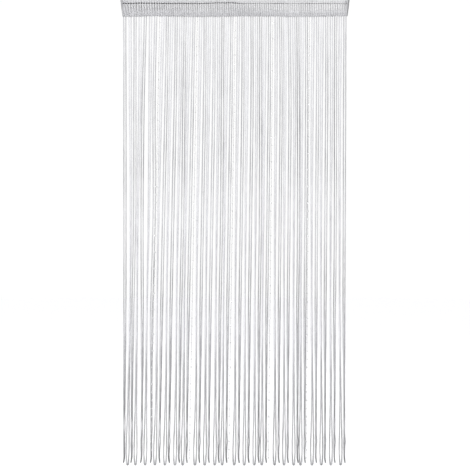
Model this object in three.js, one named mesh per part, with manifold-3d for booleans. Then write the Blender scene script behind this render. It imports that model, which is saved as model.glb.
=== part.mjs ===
// String door curtain: a knitted heading band, folded over so that a rod can pass through it, and a
// fringe of looped strings and thin beaded threads that hangs from its lower edge.
// Sizes are in millimetres. X runs along the width, -Y is the front and +Z is up. The origin is the
// middle of the heading's top edge, where the curtain is held. Heights are given as the drop below it.

import * as THREE from 'three';
import { mergeVertices } from 'three/addons/utils/BufferGeometryUtils.js';
import Module from 'manifold-3d';

const wasm = await Module();
wasm.setup();

// The heading band
const headingDrop = 70;
const headingTopHalf = 492.5;
const headingHemHalf = 483.5;
const endSpread = 10;
const ribRelief = 0.7;
const pocketReach = 12;

// The strip that holds the roots of the fringe, a little below the heading's lower edge
const stripGap = 0.4;
const stripHeight = 4.5;
const stripHalfDepth = 1.6;
const stripHalfWidth = 482;
const stripSteps = 60;

// The strings, flat and four-sided, and the thinner threads that carry the beads
const stringHalfWidth = 2.3;
const stringHalfThickness = 0.9;
const threadRadius = 0.6;
const rootDepth = 2;
const hemDrop = 1965;
const threadForward = 12;
const threadSteps = 4;
const threadDrop = 1975;

// The band's outside, front and back alike: half of its depth at each drop, with the joined line
// below the frill pinched in and the rod pocket swelling out under it. relief is the share of the
// ribs' height that shows there.
const bandSection = [
  { drop: 0, half: 1.3, relief: 0.6 },
  { drop: 14, half: 0.9, relief: 0.5 },
  { drop: 28, half: 6.8, relief: 1 },
  { drop: 54, half: 6.8, relief: 1 },
  { drop: headingDrop, half: 1.3, relief: 1 },
];

// The space inside the rod pocket
const pocketSection = [
  { drop: 18, half: 0.5 },
  { drop: 28.5, half: 5.5 },
  { drop: 53.5, half: 5.5 },
  { drop: 65, half: 0.5 },
];
const pocketSteps = 40;

// One row for each panel of the fringe, from left to right. start is where the panel begins along
// the heading, with its beaded thread, and threadHem where that thread hangs at the bottom; the
// first panel has none. faceOn and edgeOn are the places of the two kinds of loop at the bottom, and
// lean is how far the whole panel hangs to the side above them.
const panels = [
  { start: -491, threadHem: null, lean: 0, faceOn: [-462, -428, -386], edgeOn: [-476, -444, -402, -360] },
  { start: -324, threadHem: -360, lean: -1.2, faceOn: [-344, -301, -258, -225],
    edgeOn: [-326, -285, -242, -209] },
  { start: -162, threadHem: -193, lean: 0, faceOn: [-172, -130, -87, -55], edgeOn: [-155, -114, -71, -38] },
  { start: 1, threadHem: -24, lean: 0.6, faceOn: [-3, 40, 83, 115], edgeOn: [15, 57, 100, 132] },
  { start: 163, threadHem: 146, lean: 1.7, faceOn: [170, 211, 252, 282], edgeOn: [187, 226, 268, 299] },
  { start: 321, threadHem: 307, lean: -1.3, faceOn: [331, 371, 412, 454], edgeOn: [347, 386, 427, 470] },
];
const fringeEnd = 487;

// How far each loop of a panel hangs to the side of the straight line from its roots to its place at
// the bottom, at four drops. The loops of the first panel stray more than those of the others.
const swayDrops = { high: 400, middle: 900, low: 1400, foot: 1750 };
const firstSways = {
  faceOn: [
    { high: 3.7, middle: 8.4, low: 5.6, foot: 2.4 },
    { high: 1.2, middle: -1.8, low: -0.7, foot: -0.4 },
    { high: 1, middle: 2.5, low: -1.3, foot: 0.3 },
  ],
  edgeOn: [
    { high: 1.2, middle: 1.7, low: 1.8, foot: 0 },
    { high: 1.7, middle: 4.5, low: -0.4, foot: -0.8 },
    { high: -6, middle: -7, low: -1.7, foot: 0 },
    { high: -3.8, middle: 1.5, low: -5.1, foot: -1.6 },
  ],
};
const otherSways = {
  faceOn: [
    { high: -1.3, middle: -2.9, low: -2.2, foot: 1.1 },
    { high: -0.8, middle: -2.5, low: -2.5, foot: -0.2 },
    { high: 2.5, middle: 0.1, low: -1.7, foot: 0 },
    { high: -1.9, middle: -2.4, low: -2.8, foot: 0 },
  ],
  edgeOn: [
    { high: 2.3, middle: 0.8, low: -0.7, foot: 0.2 },
    { high: 3, middle: 1.3, low: -0.6, foot: 0.3 },
    { high: 1, middle: 2.7, low: -0.3, foot: 0.5 },
    { high: 0.7, middle: -0.2, low: -1.6, foot: -0.3 },
  ],
};

// How a loop's two legs part on their way down, as half of the distance between them. A face-on
// loop stays in the curtain's plane: wide at the root, narrow at mid-height and open again below.
const faceOnLegs = [
  { drop: 400, side: 4.3, depth: 0 },
  { drop: 900, side: 3, depth: 0.8 },
  { drop: 1300, side: 1.5, depth: 1.6 },
  { drop: 1560, side: 1.6, depth: 1.6 },
  { drop: 1720, side: 2.9, depth: 1.2 },
  { drop: 1850, side: 4.8, depth: 0.5 },
  { drop: 1900, side: 5.8, depth: 0 },
  { drop: hemDrop, side: 5.4, depth: 0 },
  { drop: 1990, side: 2.7, depth: 0 },
];
const faceOnTip = 1997.5;

// An edge-on loop turns as it hangs, until one leg is behind the other.
const edgeOnLegs = [
  { drop: 400, side: 4.7, depth: 0.2 },
  { drop: 900, side: 4.6, depth: 1.2 },
  { drop: 1300, side: 4.1, depth: 2.4 },
  { drop: 1520, side: 2.9, depth: 3.6 },
  { drop: 1720, side: 2, depth: 4.6 },
  { drop: 1900, side: 2.2, depth: 5 },
  { drop: hemDrop, side: 1, depth: 3.6 },
];
const edgeOnTip = 1989;
const edgeOnCurl = 3.5;

// The band is never quite flat: a shallow wave in depth, and a lower edge that rises and falls.
const bandDepthAt = (x) => 0.9 * Math.sin(x / 41) + 0.7 * Math.sin(x / 17);
const hemRiseAt = (x) => 1.2 * Math.sin(x / 63 + 0.5) + 0.5 * Math.sin(x / 21);

// The band's two ends slant inwards on the way down, and its ribs lean only close to them.
const slantAt = (x, drop) => Math.sign(x) * (headingTopHalf - headingHemHalf) * (1 - drop / headingDrop)
  * (Math.abs(x) / headingHemHalf) ** endSpread;
const dropAt = (x, drop) => -drop + hemRiseAt(x) * (drop / headingDrop);

// Extrudes a section of { depth, drop } points in equal steps, then sets each point out at its
// station along X with place(station, depth, drop).
function sweep(section, stations, place) {
  const outline = new THREE.Shape(section.map((p) => new THREE.Vector2(p.depth, -p.drop)));
  const steps = stations.length - 1;
  const geometry = new THREE.ExtrudeGeometry(outline, { depth: steps, steps, bevelEnabled: false });
  const points = geometry.attributes.position;
  for (let i = 0; i < points.count; i += 1) {
    const station = stations[Math.round(points.getZ(i))];
    points.setXYZ(i, ...place(station, points.getX(i), -points.getY(i)));
  }
  return geometry;
}

// A section symmetrical in depth, from a table of half depths
function mirrored(rows) {
  const front = rows.map((row) => ({ depth: -row.half, drop: row.drop }));
  const back = rows.map((row) => ({ depth: row.half, drop: row.drop }));
  return [...front, ...back.reverse()];
}

function toSolid(geometry) {
  geometry.deleteAttribute('normal');
  geometry.deleteAttribute('uv');
  const merged = mergeVertices(geometry, 1e-4);
  return new wasm.Manifold(new wasm.Mesh({
    numProp: 3,
    vertProperties: merged.attributes.position.array,
    triVerts: new Uint32Array(merged.index.array),
  }));
}

function toGeometry(solid) {
  const mesh = solid.getMesh();
  const geometry = new THREE.BufferGeometry();
  geometry.setAttribute('position', new THREE.BufferAttribute(mesh.vertProperties, mesh.numProp));
  geometry.setIndex(new THREE.BufferAttribute(mesh.triVerts, 1));
  geometry.computeVertexNormals();
  return geometry;
}

// The places of the roots along the heading, evenly spread over each panel: the beaded thread
// first, then the legs of the loops.
function panelRoots(panel, index) {
  const end = index + 1 < panels.length ? panels[index + 1].start : fringeEnd;
  const legs = 2 * (panel.faceOn.length + panel.edgeOn.length);
  const pitch = (end - panel.start) / (legs + 1);
  return Array.from({ length: legs }, (_, leg) => panel.start + pitch * (leg + 1));
}

const ribPlaces = panels.flatMap((panel, index) => [
  ...(panel.threadHem === null ? [] : [panel.start]),
  ...panelRoots(panel, index),
]);

// Stations along the band: each string's inlaid end is a rib, with a furrow halfway to the next. The
// first station and the last furrow are the band's two ends.
function bandStations() {
  const stations = [{ x: -headingHemHalf, crest: 0 }];
  ribPlaces.forEach((x, i) => {
    stations.push({ x, crest: 1 });
    const next = i + 1 < ribPlaces.length ? ribPlaces[i + 1] : 2 * headingHemHalf - x;
    stations.push({ x: (x + next) / 2, crest: 0 });
  });
  return stations;
}

function headingBand() {
  const reliefAt = new Map(bandSection.map((row) => [row.drop, row.relief]));
  const outside = sweep(mirrored(bandSection), bandStations(), (station, depth, drop) => {
    const rib = Math.sign(depth) * station.crest * ribRelief * reliefAt.get(drop);
    const x = station.x + slantAt(station.x, drop);
    return [x, bandDepthAt(station.x) + depth + rib, dropAt(station.x, drop)];
  });
  const reach = headingTopHalf + pocketReach;
  const places = Array.from({ length: pocketSteps + 1 }, (_, i) => reach * (2 * i / pocketSteps - 1));
  const pocket = sweep(mirrored(pocketSection), places, (x, depth, drop) => [
    x, bandDepthAt(x) + depth, dropAt(x, drop)]);
  return toGeometry(toSolid(outside).subtract(toSolid(pocket)));
}

// The line of a string: straight from point to point, with one step of the extrusion for each
class StringLine extends THREE.Curve {
  constructor(points) {
    super();
    this.points = points;
  }

  getUtoTmapping(u) {
    return u;
  }

  getPoint(t, target = new THREE.Vector3()) {
    const place = THREE.MathUtils.clamp(t, 0, 1) * (this.points.length - 1);
    const first = Math.min(Math.floor(place), this.points.length - 2);
    return target.lerpVectors(this.points[first], this.points[first + 1], place - first);
  }
}

// A four-sided string along the points, with its wide side along X where it starts
function stringAlong(points, halfWidth, halfThickness) {
  const steps = points.length - 1;
  const extrudePath = new StringLine(points);
  const wideFirst = Math.abs(extrudePath.computeFrenetFrames(steps, false).normals[0].x) > 0.5;
  const [a, b] = wideFirst ? [halfWidth, halfThickness] : [halfThickness, halfWidth];
  const corners = [[a, 0], [0, b], [-a, 0], [0, -b]];
  const diamond = new THREE.Shape(corners.map(([x, y]) => new THREE.Vector2(x, y)));
  return toSolid(new THREE.ExtrudeGeometry(diamond, { steps, extrudePath, bevelEnabled: false }));
}

const rootDrop = headingDrop + stripGap + stripHeight - rootDepth;
const share = (drop) => (drop - rootDrop) / (hemDrop - rootDrop);
const rootPoint = (x) => new THREE.Vector3(
  x, bandDepthAt(x), dropAt(x, headingDrop) + headingDrop - rootDrop);

// The sideways bow of a loop at a drop, straight from one drop of its sways to the next
function swayAt(sway, lean, drop) {
  const rows = [
    { drop: rootDrop, reach: 0 },
    { drop: swayDrops.high, reach: sway.high + lean },
    { drop: swayDrops.middle, reach: sway.middle + lean },
    { drop: swayDrops.low, reach: sway.low + lean / 2 },
    { drop: swayDrops.foot, reach: sway.foot },
    { drop: hemDrop, reach: 0 },
    { drop: faceOnTip, reach: 0 },
  ];
  const next = rows.findIndex((row) => row.drop >= drop);
  const [above, below] = [rows[next - 1], rows[next]];
  return THREE.MathUtils.mapLinear(drop, above.drop, below.drop, above.reach, below.reach);
}

// One loop: down one leg, round the tip and up the other. roots are the two places along the
// heading and hem the place of its middle at the bottom.
function loop(roots, hem, legs, tip, sway, lean) {
  const middle = (roots[0] + roots[1]) / 2;
  const centre = (drop) => THREE.MathUtils.lerp(middle, hem, share(drop)) + swayAt(sway, lean, drop);
  const leg = (side) => legs.map((row) => new THREE.Vector3(
    centre(row.drop) + side * row.side, side * row.depth, -row.drop));
  const curl = tip === edgeOnTip ? edgeOnCurl * Math.sign(hem - panels[1].faceOn[0]) : 0;
  return stringAlong([
    rootPoint(roots[0]),
    ...leg(-1),
    new THREE.Vector3(centre(tip) + curl, 0, -tip),
    ...leg(1).reverse(),
    rootPoint(roots[1]),
  ], stringHalfWidth, stringHalfThickness);
}

function beadThread(start, hem) {
  const root = rootPoint(start);
  const end = new THREE.Vector3(hem, -threadForward, -threadDrop);
  return stringAlong(Array.from({ length: threadSteps + 1 },
    (_, i) => root.clone().lerp(end, i / threadSteps)), threadRadius, threadRadius);
}

// The loops of one panel, turn about: edge-on first in the first panel, face-on first in the rest
function panelStrings(panel, index) {
  const roots = panelRoots(panel, index);
  const first = panel.edgeOn.length > panel.faceOn.length ? 'edgeOn' : 'faceOn';
  const second = first === 'edgeOn' ? 'faceOn' : 'edgeOn';
  const sways = index === 0 ? firstSways : otherSways;
  const strings = Array.from({ length: roots.length / 2 }, (_, i) => {
    const kind = i % 2 === 0 ? first : second;
    const place = Math.floor(i / 2);
    const legs = kind === 'faceOn' ? faceOnLegs : edgeOnLegs;
    const tip = kind === 'faceOn' ? faceOnTip : edgeOnTip;
    const ends = [roots[2 * i], roots[2 * i + 1]];
    return loop(ends, panel[kind][place], legs, tip, sways[kind][place], panel.lean);
  });
  return panel.threadHem === null ? strings : [beadThread(panel.start, panel.threadHem), ...strings];
}

function stringFringe() {
  const top = headingDrop + stripGap;
  const section = [
    { depth: -stripHalfDepth, drop: top },
    { depth: -stripHalfDepth, drop: top + stripHeight },
    { depth: stripHalfDepth, drop: top + stripHeight },
    { depth: stripHalfDepth, drop: top },
  ];
  const places = Array.from({ length: stripSteps + 1 }, (_, i) => stripHalfWidth * (2 * i / stripSteps - 1));
  const strip = sweep(section, places, (x, depth, drop) => [
    x, bandDepthAt(x) + depth, dropAt(x, headingDrop) + headingDrop - drop]);
  return toGeometry(wasm.Manifold.union([toSolid(strip), ...panels.flatMap(panelStrings)]));
}

function part(name, geometry, color) {
  const material = new THREE.MeshStandardMaterial({ color, roughness: 0.8, metalness: 0 });
  const mesh = new THREE.Mesh(geometry, material);
  mesh.name = name;
  return mesh;
}

const group = new THREE.Group();
group.add(part('heading_band', headingBand(), '#a9a9ab'));
group.add(part('string_fringe', stringFringe(), '#8d8d90'));

export default group;
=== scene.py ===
# String door curtain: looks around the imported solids. A sheer knitted heading is folded over a rod
# pocket, and looped strings and thin beaded threads hang from its lower edge.
# Tables and sizes are in millimetres and heights are drops below the heading's top edge. Meshes are
# written in metres. X runs along the width, -Y is the front, +Z is up.

import math

import bpy
import mathutils
import numpy as np
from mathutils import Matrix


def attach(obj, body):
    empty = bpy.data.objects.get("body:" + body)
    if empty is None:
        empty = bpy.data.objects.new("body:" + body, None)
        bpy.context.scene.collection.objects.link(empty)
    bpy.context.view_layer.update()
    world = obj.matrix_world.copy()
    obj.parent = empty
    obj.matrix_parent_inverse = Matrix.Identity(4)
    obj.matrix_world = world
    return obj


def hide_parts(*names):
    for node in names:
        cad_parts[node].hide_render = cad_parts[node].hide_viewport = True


MM = 0.001

# The photograph's view: straight on, the whole drop of the curtain in a square frame
VIEW_HEIGHT = 2021
VIEW_TOP = 0
LENS_MM = 85
SENSOR_MM = 36

# The room
FLOOR_DROP = 2060
FLOOR_RADIUS = 14000
WORLD_STRENGTH = 1.01

# The heading, as in the solids
HEADING_DROP = 70
HEADING_TOP_HALF = 492.5
HEADING_HEM_HALF = 483.5
END_SPREAD = 10
FRINGE_END = 487

# The heading cloth: the middle of one of its two layers, from the lower edge up to the fold on top
CLOTH_THICKNESS = 1.0
CLOTH_SECTION = np.array([
    # depth in front of the middle, drop
    (0.75, 70),
    (1.7, 67),
    (4.3, 60),
    (6.0, 51),
    (6.5, 42),
    (6.1, 32),
    (3.9, 22),
    (1.2, 17),
    (0.75, 15),
    (1.1, 10),
    (1.25, 4),
    (0.8, 0.9),
    (0, 0.3),
])
CLOTH_STEPS = 26
RIB_RELIEF = 0.35
SIDE_HEM = 8
SIDE_HEM_THICKNESS = 2.2
EDGE_FADE = 16

# How closely the cloth is knitted, as a tone that is 1 where the ends are turned in. Elsewhere it is
# low, and a little higher in the frill, towards the lower edge, beside the ends and on the left.
CLOTH_CLOSE = -0.17
FRILL_CLOSE = 0.07
FRILL_END = 13
FOOT_CLOSE = 0.25
FOOT_START = 38
FOOT_FADE = 14
END_CLOSE = 0.5
LEFT_CLOSE = 0.06

# Small gathers along the seam under the frill, and slower waves that fade out at the heading's top and
# at its lower edge
GATHER_DEPTH = 0.3
GATHER_REACH = 9
SLOW_DEPTH = 2

# The string ends that are inlaid in the heading, as flat ribs on its outside
RIB_HALF_WIDTH = 1.75
RIB_HALF_THICKNESS = 0.85
RIB_SINK = 0.35
RIB_STEPS = 40
RIB_SIDES = 6
RIB_MARGIN = 0.004
RIB_SWELL = 0.1
RIB_STRAY = 0.35
SEAM_PINCH = 0.3
SEAM_PINCH_REACH = 3
FRILL_PINCH = 0.4
FRILL_PINCH_END = 14
FRILL_PINCH_FADE = 4
BACK_LEAN = 3.2
BACK_LEAN_START = 10
BACK_LEAN_REACH = 60
FOLD_SHARE = 0.08

# The ribs' tone: a little lighter to the right, uneven from rib to rib, and darker below the seam as
# painted shade under the seam's pinch
RIB_TONE = 0.52
RIB_TONE_RIGHT = 0.06
RIB_TONE_SPREAD = 0.06
RIB_SEAM_SHADE = 0.2
RIB_SEAM_SHADE_START = 12
RIB_SEAM_SHADE_FADE_IN = 5
RIB_SEAM_SHADE_END = 52
RIB_SEAM_SHADE_FADE_OUT = 14

# The seam under the frill. A stretch's pull is how heavy and dark it looks, and a rise is a bump in its
# line.
# Its dark is partly the thread's own and partly painted shade of the crease between frill and pocket.
SEAM_DROP = 15
SEAM_RADIUS = 2.5
SEAM_STEP = 1.2
SEAM_SIDES = 6
SEAM_LIFT = 0.9
SEAM_LIGHT = 0.9
SEAM_DARK_AND_CREASE_SHADE = 1.2
SEAM_STRETCHES = np.array([
    # place along the heading, pull
    (-490, 1.0),
    (-210, 1.0),
    (-170, 0.88),
    (15, 0.82),
    (45, 0.32),
    (140, 0.32),
    (160, 0.52),
    (205, 0.52),
    (222, 0.26),
    (278, 0.26),
    (295, 0.45),
    (395, 0.45),
    (415, 0.28),
    (490, 0.3),
])
SEAM_RISES = (
    dict(place=-402, rise=1.8, reach=26, power=2),
    dict(place=-50, rise=2.6, reach=62, power=4),
)
SEAM_SINK = 1.8
SEAM_SINK_START = 420
SEAM_SINK_REACH = 60

# The overcast stitches round the ends, and the chain and knots where the strings leave the heading
STITCH_RADIUS = 0.42
STITCH_SIDES = 5
STITCH_TONE = 0.7
END_TURNS = 44
END_TURN_STEPS = 12
END_MARGIN = 0.01
END_REACH = 3.4
END_OVERHANG = 0.4
END_LIFT = 0.5
HEM_STITCH = 3.0
HEM_CHAIN_RADIUS = 0.45
HEM_CHAIN_DROP = 1.4
HEM_CHAIN_SWING = 0.5
KNOT_RISE = 1.2
KNOT_SIDES = 8
KNOT_PROFILE = np.array([
    # height from the knot's top, radius
    (0, 1.2),
    (-0.5, 1.9),
    (-1.7, 2.2),
    (-3.4, 2.1),
    (-4.9, 1.8),
    (-5.6, 1.3),
])

# Strings: flat open chainettes, turned this way and that
STRING_TOP_DROP = 68
STRING_STEP = 4.0
STRING_SIDES = 6
HALF_THICKNESS = 0.9
PLAIT_RELIEF = 0.1
TWIST = 0.2
HEM_DROP = 1965
ROOT_DROP = 72.8
CRIMP = 0.15
SWELL = 0.06
DEPTH_FADE = 200
RISE_FADE = 400
OWN_TONE = 0.12
SLOW_TONE = 0.04

# Beaded threads
THREAD_RADIUS = 0.8
THREAD_FORWARD = 12
THREAD_DROP = 1975
THREAD_SIDES = 5
THREAD_STEP = 6.0
THREAD_STRAY = 0.25
BEAD_FIRST = 96
BEAD_PITCH = 35.3
BEAD_COUNT = 54
BEAD_SIDES = 10
BEAD_LARGE = 4.3
BEAD_SMALL = 3.4
BEAD_STRAY = 0.6
BEAD_PROFILE = np.array([
    # reach from the axis and height, as shares of the radius
    (0.16, 0.78),
    (0.6, 0.8),
    (0.95, 0.3),
    (0.95, -0.3),
    (0.6, -0.8),
    (0.16, -0.78),
])

# The shaders' sizes, in metres. A wave texture at a scale of 1 repeats after WAVE_AT_ONE.
WAVE_AT_ONE = 0.31416
STRING_STITCH = 0.0024
SEWING_STITCH = 0.0008
KNIT_ROW = 0.0012
KNIT_LOOP = 0.0009

# How much the yarns shine softly at a grazing view, and how patchy their tone is
YARN_SHEEN = 0.1
YARN_PATCHES = 0.25

# The fringe, panel by panel, as in the solids, except that the beaded threads end 2 to 3 mm further
# left. start is the place of the panel's beaded thread along the heading and thread_hem its place at
# the bottom. The first panel has no such thread. The loops' places at the bottom follow.
PANELS = [
    dict(start=-491, thread_hem=None, lean=0, face_on=(-462, -428, -386),
         edge_on=(-476, -444, -402, -360)),
    dict(start=-324, thread_hem=-362, lean=-1.2, face_on=(-344, -301, -258, -225),
         edge_on=(-326, -285, -242, -209)),
    dict(start=-162, thread_hem=-196, lean=0, face_on=(-172, -130, -87, -55),
         edge_on=(-155, -114, -71, -38)),
    dict(start=1, thread_hem=-27, lean=0.6, face_on=(-3, 40, 83, 115), edge_on=(15, 57, 100, 132)),
    dict(start=163, thread_hem=143, lean=1.7, face_on=(170, 211, 252, 282),
         edge_on=(187, 226, 268, 299)),
    dict(start=321, thread_hem=305, lean=-1.3, face_on=(331, 371, 412, 454),
         edge_on=(347, 386, 427, 470)),
]

# How far each loop of a panel hangs to the side of the straight line from its roots to its place at
# the bottom, at each of these drops. The loops of the first panel stray more than those of the others.
# A panel's lean is added to them in the shares that LEAN_SHARES gives. Sways and leans come from a
# least-squares fit to the photograph, made by another script: the first panel's own result, and the
# mean of the other five, rounded to 0.1, with a few values changed by hand.
SWAY_DROPS = (ROOT_DROP, 400, 900, 1400, 1750, HEM_DROP, 2000)
LEAN_SHARES = (0, 1, 1, 0.5, 0, 0, 0)
FIRST_SWAYS = {
    "face_on": ((0, 3.7, 8.4, 5.6, 2.4, 0, 0), (0, 1.2, -1.8, -0.7, -0.4, 0, 0),
                (0, 1, 2.5, -1.3, 0.3, 0, 0)),
    "edge_on": ((0, 1.2, 1.7, 1.8, 0, 0, 0), (0, 1.7, 4.5, -0.4, -0.8, 0, 0),
                (0, -6, -7, -1.7, 0, 0, 0), (0, -3.8, 1.5, -5.1, -1.6, 0, 0)),
}
OTHER_SWAYS = {
    "face_on": ((0, -1.3, -2.9, -2.2, 1.1, 0, 0), (0, -0.8, -2.5, -2.5, -0.2, 0, 0),
                (0, 2.5, 0.1, -1.7, 0, 0, 0), (0, -1.9, -2.4, -2.8, 0, 0, 0)),
    "edge_on": ((0, 2.3, 0.8, -0.7, 0.2, 0, 0), (0, 3, 1.3, -0.6, 0.3, 0, 0),
                (0, 1, 2.7, -0.3, 0.5, 0, 0), (0, 0.7, -0.2, -1.6, -0.3, 0, 0)),
}

# How a loop's two legs part on their way down. side and depth are half of the distance between
# them. half_width is the string's own, and loose says how loosely it is knitted there, from 0, tight
# and dark, to 1, open and light. The values of loose were set from what another script printed, which
# compared how dark the loops are in the render and in the photograph.
LOOPS = {
    "face_on": dict(
        legs=np.array([
            # drop, side, depth, half_width, loose
            (STRING_TOP_DROP, 4.76, 0, 2.75, 0.85),
            (300, 4.5, 0, 2.75, 0.82),
            (540, 4, 0.2, 2.65, 0.8),
            (710, 3.5, 0.5, 2.55, 0.83),
            (880, 3.1, 0.8, 2.55, 0.88),
            (1100, 2.3, 1.2, 2.45, 0.9),
            (1310, 1.5, 1.6, 2.55, 0.91),
            (1420, 1.4, 1.7, 3.3, 0.97),
            (1520, 1.4, 1.7, 3.3, 0.83),
            (1600, 1.8, 1.6, 3.2, 0.67),
            (1720, 2.9, 1.2, 2.8, 0.67),
            (1800, 3.9, 0.8, 2.8, 0.59),
            (1850, 4.8, 0.5, 2.6, 0.47),
            (1900, 5.8, 0, 2.5, 0.44),
            (1950, 5.8, 0, 2.4, 0.51),
            (1965, 5.2, 0, 2.4, 0.4),
            (1975, 4.9, 0, 2.6, 0.4),
            (1983, 4.4, 0, 3.2, 0.5),
            (1990, 3.6, 0, 3.4, 0.62),
        ]),
        tip=1998.5,
        tip_loose=0.34,
    ),
    "edge_on": dict(
        legs=np.array([
            (STRING_TOP_DROP, 4.76, 0, 2.75, 0.67),
            (200, 4.3, 0, 2.75, 0.65),
            (400, 4.7, 0.2, 2.65, 0.58),
            (540, 4.8, 0.4, 2.55, 0.55),
            (710, 4.7, 0.8, 2.55, 0.52),
            (880, 4.6, 1.2, 2.55, 0.67),
            (1100, 4.4, 1.8, 2.55, 0.61),
            (1310, 4.1, 2.4, 2.55, 0.48),
            (1420, 3.5, 2.9, 3.3, 0.72),
            (1520, 2.9, 3.6, 3.3, 0.63),
            (1620, 2.3, 4.2, 3.2, 0.63),
            (1720, 2, 4.6, 2.6, 0.42),
            (1790, 2, 4.8, 2.5, 0.4),
            (1830, 2.5, 4.9, 2.5, 0.64),
            (1870, 2.1, 5, 2.5, 0.46),
            (1900, 2.4, 5, 2.6, 0.46),
            (1950, 1.5, 4, 2.4, 0.36),
            (1980, 0.9, 2.4, 2.2, 0.18),
        ]),
        tip=1990,
        tip_loose=0.2,
    ),
}

# How much denser or looser each loop of a panel is knitted than the table says, fading out on the way
# down to UPPER_END
UPPER_LOOSE = {"face_on": (0.01, 0.01, -0.05, 0.03), "edge_on": (0.02, 0.02, -0.05, 0.02)}
UPPER_END = 1300
UPPER_FADE = 500
EDGE_ON_CURL = 3.5
CURL_DROP = 28
SHOULDER = 1.6
SHOULDER_DROP = 1897
SHOULDER_REACH = 22
TURN_STEPS = 8

# The lamps: name, place in metres, power in watts and size in metres
LAMPS = (
    ("key", (-2.6, -3.8, 0.9), 90, 2.4),
    ("fill", (3.2, 3.6, 0.4), 50, 3.0),
)

rng = np.random.default_rng(20)


# Shapes that the solids and the looks share

def band_depth(x):
    """The shallow wave in depth that the heading hangs in."""
    return 0.9 * np.sin(x / 41) + 0.7 * np.sin(x / 17)


def hem_rise(x):
    """How far the heading's lower edge rises at x."""
    return 1.2 * np.sin(x / 63 + 0.5) + 0.5 * np.sin(x / 21)


def slant(x, drop):
    """The ends of the heading slant inwards on the way down, and its ribs lean only close to them."""
    reach = (HEADING_TOP_HALF - HEADING_HEM_HALF) * (1 - drop / HEADING_DROP)
    return np.sign(x) * reach * (np.abs(x) / HEADING_HEM_HALF) ** END_SPREAD


def height(x, drop):
    return -drop + hem_rise(x) * np.clip(drop / HEADING_DROP, 0, 1)


def smooth(table_x, table_y, x):
    """A smooth curve through the points of a short table."""
    slopes = np.gradient(table_y, table_x)
    i = np.clip(np.searchsorted(table_x, x) - 1, 0, len(table_x) - 2)
    step = table_x[i + 1] - table_x[i]
    t = np.clip((x - table_x[i]) / step, 0, 1)
    start = (1 + 2 * t) * (1 - t) ** 2 * table_y[i] + t * (1 - t) ** 2 * step * slopes[i]
    end = t * t * (3 - 2 * t) * table_y[i + 1] + t * t * (t - 1) * step * slopes[i + 1]
    return start + end


def fade_in(place, start, reach):
    """0 up to start, growing to 1 within reach after it."""
    return np.clip((place - start) / reach, 0, 1)


def fade_out(place, end, reach):
    """1 until reach before end, falling to 0 at end."""
    return np.clip((end - place) / reach, 0, 1)


def partly(least, share):
    """A factor that goes from least, at a share of 0, to 1, at a share of 1."""
    return least + (1 - least) * share


def waver(x, lengths, seeds):
    """A smooth random wave, about -1 to 1, made of sines of the given wavelengths."""
    waves = [np.sin(2 * math.pi * x / length + 6.3 * seed) for length, seed in zip(lengths, seeds)]
    return sum(waves) / math.sqrt(len(waves))


def panel_roots(index):
    """The places of a panel's string roots along the heading, after its beaded thread."""
    panel = PANELS[index]
    end = PANELS[index + 1]["start"] if index + 1 < len(PANELS) else FRINGE_END
    legs = 2 * (len(panel["face_on"]) + len(panel["edge_on"]))
    pitch = (end - panel["start"]) / (legs + 1)
    return panel["start"] + pitch * np.arange(1, legs + 1)


def rib_places():
    places = []
    for index, panel in enumerate(PANELS):
        if panel["thread_hem"] is not None:
            places.append(panel["start"])
        places.extend(panel_roots(index))
    return np.array(places)


# Meshes

class MeshData:
    """Vertices, faces and a tone for each vertex, gathered from many small shapes."""

    def __init__(self):
        self.vertices = []
        self.faces = []
        self.tones = []
        self.count = 0

    def add(self, vertices, faces, tone=0.5):
        self.vertices.append(np.asarray(vertices, float))
        self.faces.extend([i + self.count for i in face] for face in faces)
        self.tones.append(np.broadcast_to(tone, (len(vertices),)))
        self.count += len(vertices)

    def build(self, name, material, smooth_shading=True):
        mesh = bpy.data.meshes.new(name)
        mesh.from_pydata((np.concatenate(self.vertices) * MM).tolist(), [], self.faces)
        mesh.update()
        tone = mesh.attributes.new("tone", "FLOAT", "POINT")
        tone.data.foreach_set("value", np.concatenate(self.tones).astype(np.float32))
        mesh.polygons.foreach_set("use_smooth", [smooth_shading] * len(mesh.polygons))
        mesh.materials.append(material)
        piece = bpy.data.objects.new(name, mesh)
        bpy.context.scene.collection.objects.link(piece)
        return piece


def frames_along(path):
    """Two unit vectors across the path at each of its points, turning as little as they can."""
    tangents = np.gradient(path, axis=0)
    tangents /= np.linalg.norm(tangents, axis=1)[:, None]
    first = np.zeros_like(path)
    side = np.array([1.0, 0, 0]) if abs(tangents[0][0]) < 0.7 else np.array([0, 1.0, 0])
    for i, tangent in enumerate(tangents):
        side = side - tangent * (side @ tangent)
        side = side / math.sqrt(side @ side)
        first[i] = side
    return first, np.cross(tangents, first)


def tube(path, radii, sides, relief=0.0, thickness=None, twist=None):
    """A closed tube, round with the given radii, or flat with a half thickness and turned by a twist
    at each ring. relief raises every other corner, like the stitches of a plait."""
    first, second = frames_along(path)
    rings = len(path)
    wide = np.broadcast_to(radii, (rings,))[:, None]
    thin = wide if thickness is None else np.broadcast_to(thickness, (rings,))[:, None]
    corner = np.arange(sides)
    angles = 2 * math.pi * corner / sides
    plait = 1 + relief * (-1.0) ** (corner[None, :] + np.arange(rings)[:, None])
    a, b = wide * np.cos(angles) * plait, thin * np.sin(angles) * plait
    turn = np.zeros((rings, 1)) if twist is None else np.asarray(twist)[:, None]
    a, b = a * np.cos(turn) - b * np.sin(turn), a * np.sin(turn) + b * np.cos(turn)
    across = a[:, :, None] * first[:, None, :] + b[:, :, None] * second[:, None, :]
    vertices = (path[:, None, :] + across).reshape(-1, 3)
    faces = []
    for ring in range(rings - 1):
        a, b = ring * sides, (ring + 1) * sides
        faces.extend((a + j, a + (j + 1) % sides, b + (j + 1) % sides, b + j) for j in range(sides))
    faces.append(tuple(range(sides))[::-1])
    faces.append(tuple((rings - 1) * sides + j for j in range(sides)))
    return vertices, faces


# Materials

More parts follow.
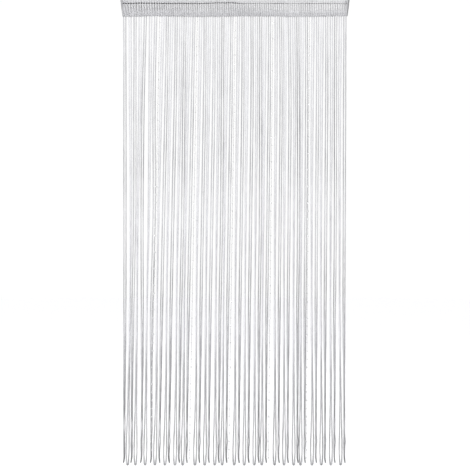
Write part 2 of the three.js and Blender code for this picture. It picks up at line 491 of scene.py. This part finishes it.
def new_material(name):
    material = bpy.data.materials.new(name)
    material.use_nodes = True
    nodes = material.node_tree.nodes
    shader = nodes["Principled BSDF"]
    return material, material.node_tree, shader


def add_node(tree, kind, **settings):
    """A node with its settings; a name that is one of its sockets sets that socket's value."""
    node = tree.nodes.new(kind)
    for name, value in settings.items():
        if name in node.inputs:
            node.inputs[name].default_value = value
        else:
            setattr(node, name, value)
    return node


def place_vector(tree, scale):
    """Places on the object, in metres, times scale along X, Y and Z."""
    coords = add_node(tree, "ShaderNodeTexCoord")
    mapping = add_node(tree, "ShaderNodeMapping")
    mapping.inputs["Scale"].default_value = scale
    tree.links.new(coords.outputs["Object"], mapping.inputs["Vector"])
    return mapping.outputs["Vector"]


def noise(tree, scale, detail=3.0):
    node = add_node(tree, "ShaderNodeTexNoise", Scale=1.0, Detail=detail)
    tree.links.new(place_vector(tree, scale), node.inputs["Vector"])
    return node.outputs["Fac"]


def ramp(tree, value, stops):
    node = add_node(tree, "ShaderNodeValToRGB")
    elements = node.color_ramp.elements
    while len(elements) < len(stops):
        elements.new(0.5)
    for element, (position, color) in zip(elements, stops):
        element.position = position
        element.color = (*color, 1)
    tree.links.new(value, node.inputs["Fac"])
    return node.outputs["Color"]


def math_node(tree, operation, first, second=None):
    node = add_node(tree, "ShaderNodeMath", operation=operation)
    for socket, value in zip(node.inputs, (first, second)):
        if value is None:
            continue
        if isinstance(value, (int, float)):
            socket.default_value = value
        else:
            tree.links.new(value, socket)
    return node.outputs["Value"]


def multiply_color(tree, color, factor):
    node = add_node(tree, "ShaderNodeMix", data_type="RGBA", blend_type="MULTIPLY")
    node.inputs["Factor"].default_value = 1
    tree.links.new(color, node.inputs["A"])
    tree.links.new(factor, node.inputs["B"])
    return node.outputs["Result"]


def bump(tree, shader, heights, distance):
    node = add_node(tree, "ShaderNodeBump", Strength=0.8, Distance=distance)
    tree.links.new(heights, node.inputs["Height"])
    tree.links.new(node.outputs["Normal"], shader.inputs["Normal"])


def grey(level):
    return (level, level, level * 1.015)


def yarn_material(name, dark, light, stitch):
    """Fine chainette: stitches along its length, in tones from dark to light, with painted shade in the
    grooves between the stitches.
    """
    material, tree, shader = new_material(name)
    tone = add_node(tree, "ShaderNodeAttribute", attribute_name="tone").outputs["Fac"]
    patches = math_node(tree, "SUBTRACT", noise(tree, (60, 60, 12)), 0.5)
    mixed = math_node(tree, "ADD", tone, math_node(tree, "MULTIPLY", patches, YARN_PATCHES))
    base = ramp(tree, mixed, [(0, grey(dark)), (1, grey(light))])
    wave = add_node(tree, "ShaderNodeTexWave", bands_direction="Z", Scale=WAVE_AT_ONE / stitch,
                    Distortion=1.5, Detail=1.0)
    wave.inputs["Detail Scale"].default_value = 1.5
    coords = add_node(tree, "ShaderNodeTexCoord")
    tree.links.new(coords.outputs["Object"], wave.inputs["Vector"])
    fibres = noise(tree, (1800, 1800, 500), 2.0)
    relief = math_node(tree, "ADD", wave.outputs["Fac"], math_node(tree, "MULTIPLY", fibres, 0.6))
    # Painted shade: the base colour is darkened to 72% in the low places of the stitch and fibre relief, as
    # shade in the grooves between stitches.
    shade = ramp(tree, relief, [(0.25, grey(0.72)), (1, grey(1))])
    tree.links.new(multiply_color(tree, base, shade), shader.inputs["Base Color"])
    roughness = math_node(tree, "ADD", math_node(tree, "MULTIPLY", fibres, 0.25), 0.42)
    tree.links.new(roughness, shader.inputs["Roughness"])
    shader.inputs["Sheen Weight"].default_value = YARN_SHEEN
    shader.inputs["Sheen Roughness"].default_value = 0.4
    bump(tree, shader, relief, 0.0004)
    return material


def knit_material():
    """The heading's ground: a fine sheer knit whose rows of chain stitches run along the band. The
    tone of the mesh says how close it is: low where it is open, and 1 in the turned-in edges."""
    material, tree, shader = new_material("heading_knit")
    close = add_node(tree, "ShaderNodeAttribute", attribute_name="tone").outputs["Fac"]
    coords = add_node(tree, "ShaderNodeTexCoord").outputs["Object"]
    rows = add_node(tree, "ShaderNodeTexWave", bands_direction="Z", Scale=WAVE_AT_ONE / KNIT_ROW,
                    Distortion=0.4)
    loops = add_node(tree, "ShaderNodeTexWave", bands_direction="X", Scale=WAVE_AT_ONE / KNIT_LOOP,
                     Distortion=0.4)
    for wave in (rows, loops):
        wave.inputs["Detail"].default_value = 1
        tree.links.new(coords, wave.inputs["Vector"])
    loop_height = math_node(tree, "MULTIPLY", loops.outputs["Fac"], 0.85)
    threads = math_node(tree, "MAXIMUM", rows.outputs["Fac"], loop_height)
    patches = noise(tree, (25, 25, 60))
    cover = math_node(tree, "ADD", threads, math_node(tree, "MULTIPLY", patches, 0.12))
    cover = math_node(tree, "ADD", cover, math_node(tree, "MULTIPLY", close, 0.6))
    tree.links.new(ramp(tree, cover, [(0.9, (0.1,) * 3), (1.02, (1,) * 3)]), shader.inputs["Alpha"])
    base = ramp(tree, patches, [(0.3, grey(0.62)), (0.7, grey(0.74))])
    shade = ramp(tree, close, [(0.4, grey(1)), (1, grey(0.5))])
    tree.links.new(multiply_color(tree, base, shade), shader.inputs["Base Color"])
    shader.inputs["Roughness"].default_value = 0.75
    shader.inputs["Sheen Weight"].default_value = 0.2
    bump(tree, shader, threads, 0.0006)
    return material


def bead_material():
    """Clear plastic, a little cloudy inside."""
    material, tree, shader = new_material("bead_clear")
    cloud = noise(tree, (260, 260, 260), 2.0)
    base = ramp(tree, cloud, [(0.3, (0.93, 0.93, 0.94)), (0.7, (1, 1, 1))])
    tree.links.new(base, shader.inputs["Base Color"])
    roughness = math_node(tree, "ADD", math_node(tree, "MULTIPLY", cloud, 0.12), 0.02)
    tree.links.new(roughness, shader.inputs["Roughness"])
    shader.inputs["IOR"].default_value = 1.35
    shader.inputs["Transmission Weight"].default_value = 0.75
    return material


def clear_thread_material():
    material, tree, shader = new_material("thread_clear")
    fibre = noise(tree, (900, 900, 200), 2.0)
    tree.links.new(ramp(tree, fibre, [(0.3, grey(0.35)), (0.7, grey(0.5))]), shader.inputs["Base Color"])
    roughness = math_node(tree, "ADD", math_node(tree, "MULTIPLY", fibre, 0.3), 0.15)
    tree.links.new(roughness, shader.inputs["Roughness"])
    shader.inputs["Transmission Weight"].default_value = 0.15
    return material


# The heading

def cloth_layer(u):
    """The heading's section at u, from 0 at the front's lower edge through the fold on top to 1 at the
    back's: depth and drop of the cloth's middle, and the direction out of it in depth and drop."""
    half_depths, drops = CLOTH_SECTION.T
    runs = np.concatenate([[0], np.cumsum(np.hypot(np.diff(half_depths), np.diff(drops)))])
    runs /= runs[-1]
    v = 1 - np.abs(2 * np.asarray(u, float) - 1)
    side = np.where(np.asarray(u) <= 0.5, -1, 1)
    depth = side * np.maximum(smooth(runs, half_depths, v), 0)
    drop = smooth(runs, drops, v)
    along_depth, along_drop = np.gradient(depth, u), np.gradient(drop, u)
    length = np.hypot(along_depth, along_drop)
    return depth, drop, along_drop / length, -along_depth / length


def heading_stations():
    """Places along the heading, four for each rib, with how high the cloth stands there."""
    ribs = rib_places()
    edges = np.concatenate([[-HEADING_HEM_HALF], (ribs[:-1] + ribs[1:]) / 2, [HEADING_HEM_HALF]])
    places, crests = [], []
    for left, rib, right in zip(edges[:-1], ribs, edges[1:]):
        for share, crest in ((0, 0), (0.5, 0.5), (1, 1)):
            places.append(left + (rib - left) * share)
            crests.append(crest)
        places.append((rib + right) / 2)
        crests.append(0.5)
    return np.array([*places, HEADING_HEM_HALF]), np.array([*crests, 0])


def back_lean(x, u, drop):
    """How far a rib on the back strays sideways from its place, against the same rib in front."""
    back = fade_in(np.asarray(u), 0.5, FOLD_SHARE)
    reach = BACK_LEAN * (1 + 0.6 * np.sin(x / 70 + 1))
    return back * reach * fade_in(drop, BACK_LEAN_START, BACK_LEAN_REACH)


def pucker(x, drop):
    """Small gathers in the cloth, strongest along the seam under the frill, and slower waves."""
    near_seam = np.exp(-((drop - SEAM_DROP) / GATHER_REACH) ** 2)
    slow = 0.5 * np.sin(x / 33 + 2) + 0.4 * np.sin(x / 71)
    pull = waver(x, (19, 27, 43), (0.3, 0.7, 0.1))
    share = np.clip(drop / HEADING_DROP, 0, 1)
    return near_seam * GATHER_DEPTH * pull + slow * share * (1 - share) * SLOW_DEPTH


def heading_cloth(material):
    places, crests = heading_stations()
    u = np.linspace(0, 1, 2 * CLOTH_STEPS + 1)
    depth, drop, out_depth, out_drop = cloth_layer(u)
    shape = MeshData()
    rings = []
    tones = []
    foot = FOOT_CLOSE * fade_in(drop, FOOT_START, FOOT_FADE)
    closeness = foot + CLOTH_CLOSE + FRILL_CLOSE * (drop < FRILL_END)
    for x in places:
        turned_in = HEADING_HEM_HALF - abs(x) < SIDE_HEM
        half = (SIDE_HEM_THICKNESS if turned_in else CLOTH_THICKNESS) / 2
        crest = np.interp(x - back_lean(x, u, drop), places, crests) * RIB_RELIEF
        middle = depth + np.sign(depth) * (pucker(x, drop) + crest)
        outer = np.stack([middle + out_depth * half, drop + out_drop * half])
        inner = np.stack([middle - out_depth * half, drop - out_drop * half])
        outer[1] = np.minimum(outer[1], HEADING_DROP)
        inner[1] = np.minimum(inner[1], HEADING_DROP)
        ring = np.concatenate([outer, inner[:, ::-1]], axis=1)
        ring_x = x + slant(x, ring[1])
        rings.append(np.stack([ring_x, band_depth(x) + ring[0], height(x, ring[1])], axis=1))
        edge = END_CLOSE * np.exp(-((HEADING_HEM_HALF - abs(x)) / EDGE_FADE) ** 2)
        open_knit = closeness + edge - LEFT_CLOSE * x / HEADING_HEM_HALF
        close = np.ones_like(drop) if turned_in else open_knit
        tones.append(np.concatenate([close, close[::-1]]))
    count = len(rings[0])
    faces = []
    for k in range(len(rings) - 1):
        a, b = k * count, (k + 1) * count
        faces.extend((a + j, b + j, b + (j + 1) % count, a + (j + 1) % count) for j in range(count))
    for k, flip in ((0, 1), (len(rings) - 1, -1)):
        start = k * count
        half_count = count // 2
        for j in range(half_count - 1):
            face = (start + j, start + j + 1, start + count - 2 - j, start + count - 1 - j)
            faces.append(face[::flip])
    shape.add(np.concatenate(rings), faces, np.concatenate(tones))
    return shape.build("heading_cloth", material)


def heading_ribs(material):
    """The string ends inlaid in the heading, over its outside from edge to edge."""
    u = np.linspace(RIB_MARGIN, 1 - RIB_MARGIN, RIB_STEPS)
    depth, drop, out_depth, out_drop = cloth_layer(u)
    lift = CLOTH_THICKNESS / 2 + RIB_RELIEF + RIB_HALF_THICKNESS * RIB_SINK
    pinch = SEAM_PINCH * np.exp(-((drop - SEAM_DROP) / SEAM_PINCH_REACH) ** 2)
    drawn_in = 1 - pinch - FRILL_PINCH * fade_out(drop, FRILL_PINCH_END, FRILL_PINCH_FADE)
    # Painted shade: the band below the seam, where the ribs are darkened as if shade fell under the seam's
    # pinch.
    below_seam = fade_in(drop, RIB_SEAM_SHADE_START, RIB_SEAM_SHADE_FADE_IN)
    upper = below_seam * fade_out(drop, RIB_SEAM_SHADE_END, RIB_SEAM_SHADE_FADE_OUT)
    shape = MeshData()
    for x in rib_places():
        seeds = rng.random(4)
        swell = RIB_SWELL * waver(drop + 90 * (u > 0.5), (23, 61), seeds[:2])
        width = RIB_HALF_WIDTH * (1 + swell) * drawn_in
        middle = depth + np.sign(depth) * pucker(x, drop) + out_depth * lift
        at = x + back_lean(x, u, drop) + RIB_STRAY * waver(drop, (31, 17), seeds[2:]) + slant(x, drop)
        path = np.stack([at, band_depth(x) + middle, height(x, drop + out_drop * lift)], axis=1)
        own = RIB_TONE + RIB_TONE_RIGHT * x / HEADING_HEM_HALF + RIB_TONE_SPREAD * rng.normal()
        tone = np.repeat(own - RIB_SEAM_SHADE * upper, RIB_SIDES)
        shape.add(*tube(path, width, RIB_SIDES, PLAIT_RELIEF, RIB_HALF_THICKNESS), tone)
    return shape.build("heading_ribs", material)


def seam_pull(x):
    """How heavy the seam under the frill looks at x: gathered and dark on the left, lighter elsewhere. The
    dark is partly painted shade of the crease.
    """
    return np.interp(x, *SEAM_STRETCHES.T)


def seam_drop(x):
    """The seam rises and falls a little along the heading."""
    rise = sum(hump["rise"] * np.exp(-((x - hump["place"]) / hump["reach"]) ** hump["power"])
               for hump in SEAM_RISES)
    sink = SEAM_SINK * fade_in(x, SEAM_SINK_START, SEAM_SINK_REACH)
    return SEAM_DROP - rise + sink + 0.3 * np.sin(x / 9.1)


def heading_seams(material):
    """The seam under the frill, sewn right through, so that it shows in front and behind: one stitch
    over each rib, drawn tight between the ribs."""
    ribs = rib_places()
    reach = HEADING_HEM_HALF - 2
    xs = np.arange(-reach, reach, SEAM_STEP)
    pull = seam_pull(xs)
    drops = seam_drop(xs)
    phase = 2 * math.pi * np.interp(xs, ribs, np.arange(len(ribs)))
    over_rib = 0.5 + 0.5 * np.cos(phase)
    shape = MeshData()
    for side in (-1, 1):
        u = np.linspace(0, 0.5, 60) if side < 0 else np.linspace(0.5, 1, 60)
        depth, drop, _, _ = cloth_layer(u)
        order = np.argsort(drop)
        surface = np.interp(drops, drop[order], np.abs(depth)[order])
        lift = CLOTH_THICKNESS / 2 + RIB_RELIEF + SEAM_LIFT * over_rib
        ys = band_depth(xs) + side * (surface + lift + pucker(xs, drops))
        zs = height(xs, drops) + 0.35 * np.sin(phase / 2)
        radii = SEAM_RADIUS * partly(0.25, over_rib) * partly(0.4, pull)
        # The seam's tone: dark thread, darkened further as painted shade of the crease under the frill,
        # most where it pulls heavy and over the ribs.
        tone = SEAM_LIGHT - SEAM_DARK_AND_CREASE_SHADE * pull ** 0.7 * partly(0.35, over_rib)
        path = np.stack([xs, ys, zs], axis=1)
        shape.add(*tube(path, radii, SEAM_SIDES), np.repeat(tone, SEAM_SIDES))
    return shape.build("heading_seam", material)


def side_stitching(material):
    """Overcast stitches round the turned-in edge at each end of the heading."""
    shape = MeshData()
    u = np.linspace(END_MARGIN, 1 - END_MARGIN, END_TURNS * END_TURN_STEPS)
    depth, drop, out_depth, out_drop = cloth_layer(u)
    for end in (-1, 1):
        phase = 2 * math.pi * END_TURNS * u
        in_from_end = END_REACH * (1 - np.cos(phase)) - END_OVERHANG
        lift = (SIDE_HEM_THICKNESS / 2 + END_LIFT) * np.sin(phase)
        x0 = end * HEADING_HEM_HALF
        xs = end * (HEADING_HEM_HALF - in_from_end)
        path = np.stack([
            xs + slant(x0, drop),
            band_depth(x0) + depth + out_depth * lift,
            height(x0, np.minimum(drop + out_drop * lift, HEADING_DROP + 1)),
        ], axis=1)
        shape.add(*tube(path, STITCH_RADIUS, STITCH_SIDES), STITCH_TONE)
    return shape.build("side_stitching", material)


def fringe_roots(material):
    """Where the strings leave the heading: a small knot round each, and a chain that joins them."""
    shape = MeshData()
    heights, radii = KNOT_PROFILE.T
    for x in rib_places():
        size = 1 + 0.12 * rng.normal()
        zs = height(x, HEADING_DROP) + KNOT_RISE + heights
        path = np.stack([np.full_like(zs, x), np.full_like(zs, band_depth(x)), zs], axis=1)
        shape.add(*tube(path, radii * size, KNOT_SIDES), 0.6 + 0.1 * rng.normal())
    xs = np.arange(-HEADING_HEM_HALF + 1, HEADING_HEM_HALF - 1, HEM_STITCH / 4)
    phase = 2 * math.pi * xs / HEM_STITCH
    ys = band_depth(xs) - HEM_CHAIN_SWING * np.cos(phase)
    zs = height(xs, HEADING_DROP) - HEM_CHAIN_DROP + HEM_CHAIN_SWING * np.sin(phase)
    path = np.stack([xs, ys, zs], axis=1)
    shape.add(*tube(path, HEM_CHAIN_RADIUS, STITCH_SIDES), STITCH_TONE)
    return shape.build("fringe_roots", material)


# The strings

def leg_offsets(table, drops):
    """Side, depth, half width and looseness of a leg at each of the drops."""
    table_drops = table[:, 0]
    return [smooth(table_drops, table[:, column], drops) for column in (1, 2, 3, 4)]


def loop_path(roots, hem, kind, sway, lean, seeds):
    """One loop: down one leg, round the tip and up the other. Returns its path, the string's half
    width, its looseness, drops, and the side of the loop from -1 to 1."""
    shape = LOOPS[kind]
    table = shape["legs"]
    last = table[-1, 0]
    drops = np.linspace(STRING_TOP_DROP, last, int((last - STRING_TOP_DROP) / STRING_STEP))
    angles = np.linspace(0, math.pi, TURN_STEPS + 2)[1:-1]
    turn_drops = last + (shape["tip"] - last) * np.sin(angles)
    all_drops = np.concatenate([drops, turn_drops, drops[::-1]])
    leg = np.concatenate([-np.ones(len(drops)), -np.cos(angles), np.ones(len(drops))])
    side, depth, half_width, loose = (
        np.concatenate([column, np.full(TURN_STEPS, column[-1]), column[::-1]])
        for column in leg_offsets(table, drops)
    )
    in_turn = fade_in(all_drops, last, shape["tip"] - last)
    loose = loose + (shape["tip_loose"] - loose) * in_turn
    share = (all_drops - ROOT_DROP) / (HEM_DROP - ROOT_DROP)
    root = (roots[0] + roots[1]) / 2
    bow = np.array(sway) + np.array(LEAN_SHARES) * lean
    centre = root + (hem - root) * share + smooth(np.array(SWAY_DROPS), bow, all_drops)
    own = np.sign(leg) * 40
    crimp_x = CRIMP * waver(all_drops + own, (37, 53, 89), seeds[:3]) * np.clip(share * 20, 0, 1)
    crimp_y = CRIMP * waver(all_drops - own, (41, 67, 97), seeds[3:6])
    bulge = 0
    if kind == "edge_on":
        outward = np.sign(hem - PANELS[1]["face_on"][0])
        curl = fade_in(all_drops, shape["tip"] - CURL_DROP, CURL_DROP) ** 1.5
        near_shoulder = np.exp(-((all_drops - SHOULDER_DROP) / SHOULDER_REACH) ** 2)
        shoulder = SHOULDER * near_shoulder * (leg > 0)
        bulge = outward * (EDGE_ON_CURL * curl + shoulder)
    xs = centre + leg * side + bulge + crimp_x
    root_depth = band_depth(root) * (1 - fade_in(all_drops, STRING_TOP_DROP, DEPTH_FADE))
    ys = root_depth + leg * depth + crimp_y
    rise = hem_rise(root) * (1 - fade_in(all_drops, STRING_TOP_DROP, RISE_FADE))
    swell = 1 + SWELL * waver(all_drops + 3 * own, (58, 131, 310), seeds[6:9])
    path = np.stack([xs, ys, -all_drops + rise], axis=1)
    return path, half_width * swell, loose, all_drops, leg


def string_tone(loose, drops, leg, seeds):
    """Light and dark stretches along a string; each leg has its own."""
    own = np.where(leg < 0, seeds[0], seeds[1])
    slow = waver(drops + 700 * own, (170, 420, 900), seeds[2:5])
    return loose + OWN_TONE * (own - 0.5) + SLOW_TONE * slow


def panel_strings(index, material):
    panel = PANELS[index]
    roots = panel_roots(index)
    sways = FIRST_SWAYS if index == 0 else OTHER_SWAYS
    kinds = ["face_on", "edge_on"]
    if len(panel["edge_on"]) > len(panel["face_on"]):
        kinds.reverse()
    shape = MeshData()
    for i in range(len(roots) // 2):
        kind = kinds[i % 2]
        place = i // 2
        ends = roots[2 * i:2 * i + 2]
        path, half_width, loose, drops, leg = loop_path(
            ends, panel[kind][place], kind, sways[kind][place], panel["lean"], rng.random(9))
        upper = fade_out(drops, UPPER_END, UPPER_FADE) * UPPER_LOOSE[kind][place]
        tone = string_tone(loose + upper, drops, leg, rng.random(5))
        twist = TWIST * waver(drops + 500 * leg, (230, 410, 730), rng.random(3))
        mesh = tube(path, half_width, STRING_SIDES, PLAIT_RELIEF, HALF_THICKNESS, twist)
        shape.add(*mesh, np.repeat(tone, STRING_SIDES))
    return shape.build(f"strings_{index + 1}", material)


# The beaded threads

def thread_place(panel, drop):
    """Where a beaded thread is at a drop: it hangs straight, a little in front of the strings."""
    share = (drop - ROOT_DROP) / (THREAD_DROP - ROOT_DROP)
    x = panel["start"] + (panel["thread_hem"] - panel["start"]) * share
    y = band_depth(panel["start"]) * (1 - share) - THREAD_FORWARD * share
    return np.stack([x, y, -drop], axis=-1)


def bead_thread(index, material):
    panel = PANELS[index]
    drops = np.arange(STRING_TOP_DROP, THREAD_DROP, THREAD_STEP)
    path = thread_place(panel, drops)
    path[:, 0] += THREAD_STRAY * waver(drops, (90, 150, 260), rng.random(3))
    shape = MeshData()
    shape.add(*tube(path, THREAD_RADIUS, THREAD_SIDES), 0.6)
    return shape.build(f"bead_thread_{index + 1}", material)


def bead(centre, radius, spin):
    """A faceted bead on a thread: diamond facets outside and a hole along its axis."""
    step = 2 * math.pi / BEAD_SIDES
    vertices = []
    for k, (reach, rise) in enumerate(BEAD_PROFILE):
        angles = spin + step * (np.arange(BEAD_SIDES) + 0.5 * (k % 2))
        ring = np.stack([np.cos(angles) * reach, np.sin(angles) * reach, np.full(BEAD_SIDES, rise)], axis=1)
        vertices.append(centre + radius * ring)
    faces = []
    for k in range(len(BEAD_PROFILE)):
        a, b = k * BEAD_SIDES, (k + 1) % len(BEAD_PROFILE) * BEAD_SIDES
        shift = k % 2
        for j in range(BEAD_SIDES):
            near, far = j, (j + 1) % BEAD_SIDES
            if shift:
                faces.append((a + near, b + far, a + far))
                faces.append((a + near, b + near, b + far))
            else:
                faces.append((a + near, b + near, a + far))
                faces.append((a + far, b + near, b + far))
    return np.concatenate(vertices), faces


def beads(index, material):
    panel = PANELS[index]
    shape = MeshData()
    for k in range(BEAD_COUNT):
        drop = BEAD_FIRST + BEAD_PITCH * k + BEAD_STRAY * rng.normal()
        radius = BEAD_LARGE if k % 2 == 0 else BEAD_SMALL
        shape.add(*bead(thread_place(panel, drop), radius, 6.3 * rng.random()))
    return shape.build(f"beads_{index + 1}", material, smooth_shading=False)


# The room and the view

def floor_disc():
    material, tree, shader = new_material("floor_pale")
    cloud = noise(tree, (1.5, 1.5, 1.5), 2.0)
    tree.links.new(ramp(tree, cloud, [(0, grey(0.98)), (1, grey(0.99))]), shader.inputs["Base Color"])
    shader.inputs["Roughness"].default_value = 0.9
    corners = 64
    angles = 2 * math.pi * np.arange(corners) / corners
    shape = MeshData()
    xs, ys = FLOOR_RADIUS * np.cos(angles), FLOOR_RADIUS * np.sin(angles)
    shape.add(np.stack([xs, ys, np.full(corners, -FLOOR_DROP)], axis=1), [tuple(range(corners))])
    floor = shape.build("floor", material)


def studio_light():
    world = bpy.data.worlds.new("studio")
    world.use_nodes = True
    background = world.node_tree.nodes["Background"]
    background.inputs["Color"].default_value = (1, 1, 1, 1)
    background.inputs["Strength"].default_value = WORLD_STRENGTH
    bpy.context.scene.world = world
    for name, place, power, size in LAMPS:
        light = bpy.data.lights.new(name, "AREA")
        light.energy = power
        light.size = size
        lamp = bpy.data.objects.new(name, light)
        lamp.location = place
        aim = mathutils.Vector((0, 0, -1)) - mathutils.Vector(place)
        lamp.rotation_euler = aim.to_track_quat("-Z", "Y").to_euler()
        bpy.context.scene.collection.objects.link(lamp)


def camera():
    data = bpy.data.cameras.new("camera")
    data.lens = LENS_MM
    data.sensor_width = SENSOR_MM
    data.clip_end = 100
    distance = VIEW_HEIGHT / 2 * LENS_MM / (SENSOR_MM / 2)
    eye = bpy.data.objects.new("camera", data)
    eye.location = (0, -distance * MM, -(VIEW_TOP + VIEW_HEIGHT / 2) * MM)
    eye.rotation_euler = (math.pi / 2, 0, 0)
    bpy.context.scene.collection.objects.link(eye)
    bpy.context.scene.camera = eye


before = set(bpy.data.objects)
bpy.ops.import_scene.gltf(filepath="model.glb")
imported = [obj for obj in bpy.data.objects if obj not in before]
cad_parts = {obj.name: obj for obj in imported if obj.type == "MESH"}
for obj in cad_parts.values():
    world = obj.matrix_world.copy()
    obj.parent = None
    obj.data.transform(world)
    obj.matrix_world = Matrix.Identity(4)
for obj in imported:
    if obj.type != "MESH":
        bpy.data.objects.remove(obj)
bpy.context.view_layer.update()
bpy.context.scene.view_settings.view_transform = "Standard"
camera()
studio_light()
floor_disc()

knit = knit_material()
yarn = yarn_material("string_yarn", dark=0.05, light=0.8, stitch=STRING_STITCH)
rib_yarn = yarn_material("rib_yarn", dark=0.25, light=0.85, stitch=STRING_STITCH)
sewing = yarn_material("sewing_thread", dark=0.03, light=0.55, stitch=SEWING_STITCH)
clear = bead_material()
thread = clear_thread_material()

cloth = heading_cloth(knit)
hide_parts("heading_band")
ribs = heading_ribs(rib_yarn)
seam = heading_seams(sewing)
edging = side_stitching(sewing)
roots = fringe_roots(yarn)
fringe = [panel_strings(index, yarn) for index in range(len(PANELS))]
threads = [bead_thread(index, thread) for index in range(1, len(PANELS))]
bead_rows = [beads(index, clear) for index in range(1, len(PANELS))]

for piece in (roots, *fringe, *threads):
    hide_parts("string_fringe")
slots = {
    "heading_knit": (cloth, seam, edging),
    "string_yarn": (ribs, roots, *fringe),
    "bead_clear": (*threads, *bead_rows),
}
for slot, pieces in slots.items():
    for piece in pieces:
        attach(piece, "root")
